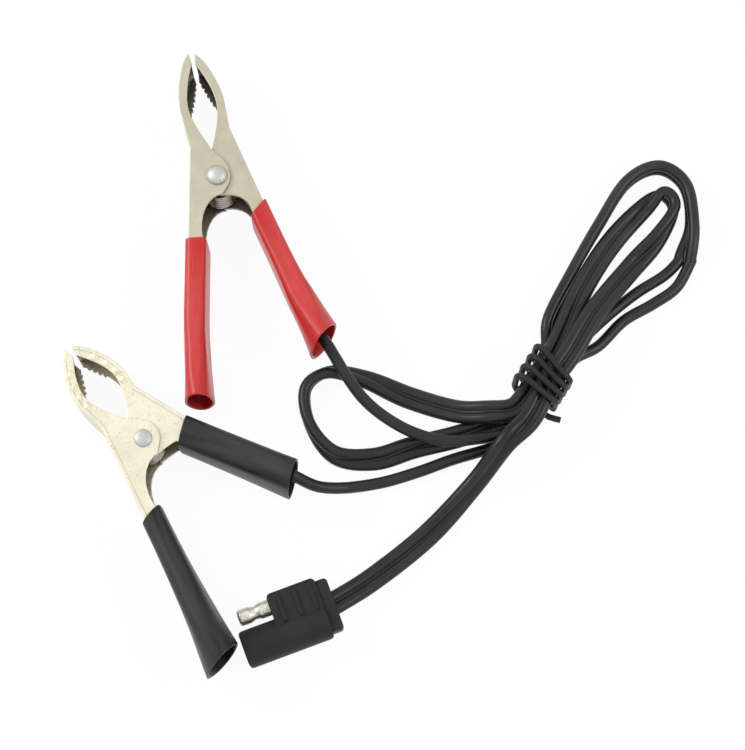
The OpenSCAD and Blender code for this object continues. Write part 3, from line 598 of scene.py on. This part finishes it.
copper, copper_tree, copper_shader = new_material("copper strands", (0.72, 0.36, 0.2), 0.35, 1.0)
place = add_node(copper_tree, "ShaderNodeTexCoord").outputs["Object"]
strands = add_node(copper_tree, "ShaderNodeTexNoise", None, {
    "Vector": place, "Scale": 2500.0, "Detail": 2.0})
strand_tint = add_node(copper_tree, "ShaderNodeMix", {"data_type": "RGBA"}, {
    "Factor": strands.outputs["Fac"], 6: (0.45, 0.2, 0.1, 1), 7: (0.8, 0.45, 0.28, 1)})
copper_tree.links.new(strand_tint.outputs[2], copper_shader.inputs["Base Color"])

for clip in ("red", "black"):
    dress(f"{clip}_conductor", copper)

spring_wire, coil_r, coil_pitch, coil_turns = 1.2, 4.3, 1.75, 5
coil_drop = {"red": 1.2, "black": 0.3}
# Slope of the leg on the outer lever and on the inner one, and how far down they reach
legs = {"red": ((18.898, 14), (26.776, 10.5)), "black": ((24.152, 14), (44.164, 8))}
leg_points = (1, 0.75, 0.5, 0.25)
for clip, moving in (("red", "red_free_lever"), ("black", "black_wired_lever")):
    (out_turn, out_reach), (in_turn, in_reach) = legs[clip]
    first, last = math.radians(in_turn), math.radians(180 - out_turn + 360 * coil_turns)
    rise = coil_pitch * (last - first) / (2 * math.pi)
    turns = np.linspace(first, last, 40 * coil_turns)
    coil = np.column_stack([coil_r * np.cos(turns), coil_r * np.sin(turns) - coil_drop[clip],
                            rise * (np.linspace(0, 1, len(turns)) - 0.5)])
    down_in = np.array((math.sin(first), -math.cos(first), 0))
    down_out = np.array((-math.sin(math.radians(out_turn)), -math.cos(math.radians(out_turn)), 0))
    in_leg = (in_reach - coil_drop[clip] + coil_r * math.sin(first)) / math.cos(first)
    out_leg = ((out_reach - coil_drop[clip] + coil_r * math.sin(math.radians(out_turn)))
               / math.cos(math.radians(out_turn)))
    line = np.vstack([[coil[0] + f * in_leg * down_in for f in leg_points], coil,
                      [coil[-1] + f * out_leg * down_out for f in leg_points[::-1]]])
    wire = follow(f"{clip}_torsion_spring", round_cord,
                  [on_table(clip, x, y, mid_z + z) for x, y, z in line],
                  wire_steel, core_radius=spring_wire / 2 * MM, sides=16)
    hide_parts(f"{clip}_spring")
    if clip == "red":
        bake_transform(wire)
    else:
        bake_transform(wire)

# ---- Sleeves ----
# Each handle wears a cut length of soft PVC tube, pushed on warm. It takes the
# handle's flat shape, creases where the steel ends, and opens out round at the far end.
# The far end's turn, half width and roundness (0 a box, 1 an oval), and the slant of its cut
end_turn = {("red", "outer"): -3.5, ("red", "inner"): 3.5,
            ("black", "outer"): 0, ("black", "inner"): 0}
end_half_w = {("red", "outer"): 4.2, ("red", "inner"): 5.2,
              ("black", "outer"): 5.7, ("black", "inner"): 5.4}
end_round = {("red", "outer"): 1, ("red", "inner"): 1,
             ("black", "outer"): 1, ("black", "inner"): 0.7}
skew = {("red", "outer"): 0.05, ("red", "inner"): -0.5,
        ("black", "outer"): 0.42, ("black", "inner"): -0.15}
lever_h = {"outer": 16, "inner": 13.7}
wall = 0.7
# Room round the steel, in width and in height, the corners' radius, the roundness at the
# mouth, and the power by which both grow towards the far end
gap = {"red": 0.35, "black": 0.5}
rim = {"red": 0, "black": 0.2}
corner = {"red": 1.5, "black": 3.0}
soft = {"red": 0.12, "black": 0.3}
swell = {"red": 3, "black": 2}
tall, broad = 1.2, 0.5
lathe_points = 9


def section_rows():
    """Round the tube once: corner and straight, each with its place on a box and on an oval."""
    rows = []
    for q, (sx, sy) in enumerate(((1, 1), (-1, 1), (-1, -1), (1, -1))):
        for u in np.linspace(q * 90, q * 90 + 90, lathe_points):
            c, s = math.cos(math.radians(u)), math.sin(math.radians(u))
            rows.append((sx, sy, c, s, math.atan2(s + tall * sy, c + broad * sx)))
        nx, ny = ((-1, 1), (-1, -1), (1, -1), (1, 1))[q]
        c, s = math.cos(math.radians(q * 90 + 90)), math.sin(math.radians(q * 90 + 90))
        v0 = rows[-1][4]
        v1 = math.atan2(s + tall * ny, c + broad * nx)
        v1 += 2 * math.pi * round((v0 - v1) / (2 * math.pi))
        for f in np.linspace(0, 1, lathe_points)[1:-1]:
            rows.append((sx + (nx - sx) * f, sy + (ny - sy) * f, c, s, v0 + (v1 - v0) * f))
    return np.array(rows)


round_once = section_rows()


def sleeve(name, clip, side, material, folds, seed):
    """A tube with a wall, on the handle's axis, with soft folds past the steel's end."""
    key = (clip, side)
    a = math.radians(grip_turn[key])
    length, w0 = sleeve_len[key], handle_w[key]
    # each station: how far along, half width, half height and roundness
    at_mouth = np.array((0, w0 / 2 + gap[clip] + wall,
                         lever_h[side] / 2 + rim[clip] + gap[clip] + wall, soft[clip]))
    at_end = np.array((0, end_half_w[key], mid_z, end_round[key]))
    along = np.linspace(0, 1, 7)
    stations = smooth([(length * f, 0, 0, 0) + at_mouth + (at_end - at_mouth) * f ** swell[clip]
                       for f in along], 14)
    sign = -1 if side == "outer" else 1
    rng = np.random.default_rng(seed)
    phases = rng.uniform(0, 2 * math.pi, len(folds))
    rings = []
    for skin in (0, wall):
        for t, half_w, half_h, f in stations:
            f = min(1, max(0, f))
            aside = max(0, t - grip_len) * math.tan(math.radians(end_turn[key]))
            x0 = knee[key][0] - w0 / 2 * math.cos(a) + t * math.sin(a) + aside * math.cos(a)
            y0 = knee[key][1] - w0 / 2 * math.sin(a) - t * math.cos(a) + aside * math.sin(a)
            ew, eh, r = half_w - skin, half_h - skin, corner[clip] - skin
            sx, sy, c, s, v = round_once.T
            px = (1 - f) * (sx * (ew - r) + r * c) + f * ew * np.cos(v)
            pz = (1 - f) * (sy * (eh - r) + r * s) + f * eh * np.sin(v)
            ripple = np.zeros(len(v))
            for (count, depth, centre, spread), phase in zip(folds, phases):
                ripple += depth * np.exp(-((t - centre) / spread) ** 2) * np.cos(count * v + phase)
            px = px + ripple * np.cos(v)
            pz = pz + ripple * np.sin(v) * 0.4
            pz = np.clip(pz, -mid_z + 0.02, None)
            along_x = px * (math.cos(a) + skew[key] * math.sin(a))
            along_y = px * (math.sin(a) - skew[key] * math.cos(a))
            rings.append([on_table(clip, sign * (x0 + q), y0 + u, mid_z + z)
                          for q, u, z in zip(along_x, along_y, pz)])
    n, m = len(stations), len(round_once)
    verts = [tuple(p) for ring in rings for p in ring]
    faces = []
    for i in range(n - 1):
        for j in range(m):
            k = (j + 1) % m
            o, q = i * m, n * m + i * m
            faces.append((o + j, o + k, o + m + k, o + m + j))
            faces.append((q + k, q + j, q + m + j, q + m + k))
    for j in range(m):
        k = (j + 1) % m
        e = (n - 1) * m
        faces.append((j, n * m + j, n * m + k, k))
        faces.append((e + k, n * m + e + k, n * m + e + j, e + j))
    mesh = bpy.data.meshes.new(name)
    mesh.from_pydata(verts, [], faces)
    mesh.validate()
    around = mesh.attributes.new("cord_place", "FLOAT_VECTOR", "POINT")
    rows = [(math.cos(v), math.sin(v), t * MM)
            for skin in range(2) for t, *_ in stations for v in round_once[:, 4]]
    around.data.foreach_set("vector", np.array(rows, float).ravel())
    volume = sum(p.area * p.normal.dot(p.center - mesh.vertices[0].co) for p in mesh.polygons)
    if volume < 0:
        mesh.flip_normals()
    mesh.shade_smooth()
    mesh.materials.append(material)
    piece = bpy.data.objects.new(name, mesh)
    bpy.context.scene.collection.objects.link(piece)
    lip = piece.modifiers.new("lip", "BEVEL")
    lip.width = 0.18 * MM
    lip.segments = 2
    lip.limit_method = "ANGLE"
    lip.angle_limit = math.radians(60)
    return piece


red_pvc = pvc("red PVC", (0.6, 0.018, 0.017), (0.72, 0.085, 0.078), 0.3, "cord_place",
              stretch=(1, 1, 25), bump=0.2, grain_scale=6.0, patch_scale=1.1, dull=0.1,
              Specular_IOR_Level=0.35)
black_pvc = pvc("black PVC", (0.007, 0.007, 0.007), (0.05, 0.05, 0.048), 0.38, "cord_place",
                stretch=(1, 1, 25), bump=0.2, grain_scale=6.0, patch_scale=1.2, dull=0.15,
                Specular_IOR_Level=0.3)
sleeve_pvc = {"red": red_pvc, "black": black_pvc}
# Folds: how many round the tube, how deep, where along it and how far they fade
for clip, side, body, folds, seed in (
    ("red", "outer", "red_free_lever",
     ((3, 0.3, 30, 6), (5, 0.15, 40, 8), (9, 0.05, 22, 14)), 3),
    ("red", "inner", "lead_and_clips",
     ((3, 0.3, 29, 6), (5, 0.2, 36, 7), (9, 0.05, 20, 12)), 5),
    ("black", "outer", "lead_and_clips",
     ((3, 0.15, 31, 8), (4, 0.1, 40, 8), (7, 0.05, 20, 14)), 8),
    ("black", "inner", "black_wired_lever", ((3, 0.1, 30, 8), (7, 0.04, 20, 12)), 11),
):
    tube = sleeve(f"{clip}_{side}_grip", clip, side, sleeve_pvc[clip], folds, seed)
    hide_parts(f"{clip}_{side}_sleeve")
    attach(tube, body)

# ---- Table and light ----
# A white table top and soft light from all round, with a broad lamp on either side.
floor_mesh = bpy.data.meshes.new("table")
reach = 1.6
floor_mesh.from_pydata([(x * reach, y * reach, 0) for x, y in ((-1, -1), (1, -1), (1, 1), (-1, 1))],
                       [], [(0, 1, 2, 3)])
floor = bpy.data.objects.new("table", floor_mesh)
bpy.context.scene.collection.objects.link(floor)


def looked_at(tree):
    """1 for rays from the camera or by way of metal or glass, and 0 for light on the object."""
    rays = add_node(tree, "ShaderNodeLightPath").outputs
    seen = rays["Is Camera Ray"]
    for kind in ("Is Glossy Ray", "Is Transmission Ray"):
        either = add_node(tree, "ShaderNodeMath", {"operation": "MAXIMUM"}, {0: seen, 1: rays[kind]})
        seen = either.outputs[0]
    return seen


white = bpy.data.materials.new("white table")
white.use_nodes = True
tree = white.node_tree
tree.nodes.clear()
share = add_node(tree, "ShaderNodeMath", {"operation": "MULTIPLY"}, {0: looked_at(tree), 1: 0.92})
matt = add_node(tree, "ShaderNodeBsdfDiffuse", None, {"Color": (0.93, 0.93, 0.93, 1)})
glow = add_node(tree, "ShaderNodeEmission", None, {"Color": (1, 1, 1, 1), "Strength": 1.02})
both = add_node(tree, "ShaderNodeMixShader", None, {
    0: share.outputs[0], 1: matt.outputs[0], 2: glow.outputs[0]})
add_node(tree, "ShaderNodeOutputMaterial", None, {"Surface": both.outputs[0]})
floor_mesh.materials.append(white)

world = bpy.data.worlds.new("studio")
bpy.context.scene.world = world
world.use_nodes = True
tree = world.node_tree
tree.nodes.clear()
strength = add_node(tree, "ShaderNodeMapRange", None, {
    "Value": looked_at(tree), "To Min": 0.55, "To Max": 1.0})
sky = add_node(tree, "ShaderNodeBackground", None, {
    "Color": (1, 1, 1, 1), "Strength": strength.outputs[0]})
add_node(tree, "ShaderNodeOutputWorld", None, {"Surface": sky.outputs[0]})

for name, place, aim, size, watts in (
    ("left lamp", (-0.75, 0.25, 0.7), (0.04, 0, 0), 0.4, 4.5),
    ("right lamp", (0.75, -0.1, 0.7), (0.04, 0, 0), 0.3, 2.0),
):
    lamp = bpy.data.lights.new(name, "AREA")
    lamp.shape = "SQUARE"
    lamp.size = size
    lamp.energy = watts
    stand = bpy.data.objects.new(name, lamp)
    stand.location = place
    stand.rotation_euler = (Vector(aim) - Vector(place)).to_track_quat("-Z", "Y").to_euler()
    bpy.context.scene.collection.objects.link(stand)

bpy.context.scene.view_settings.view_transform = "Standard"
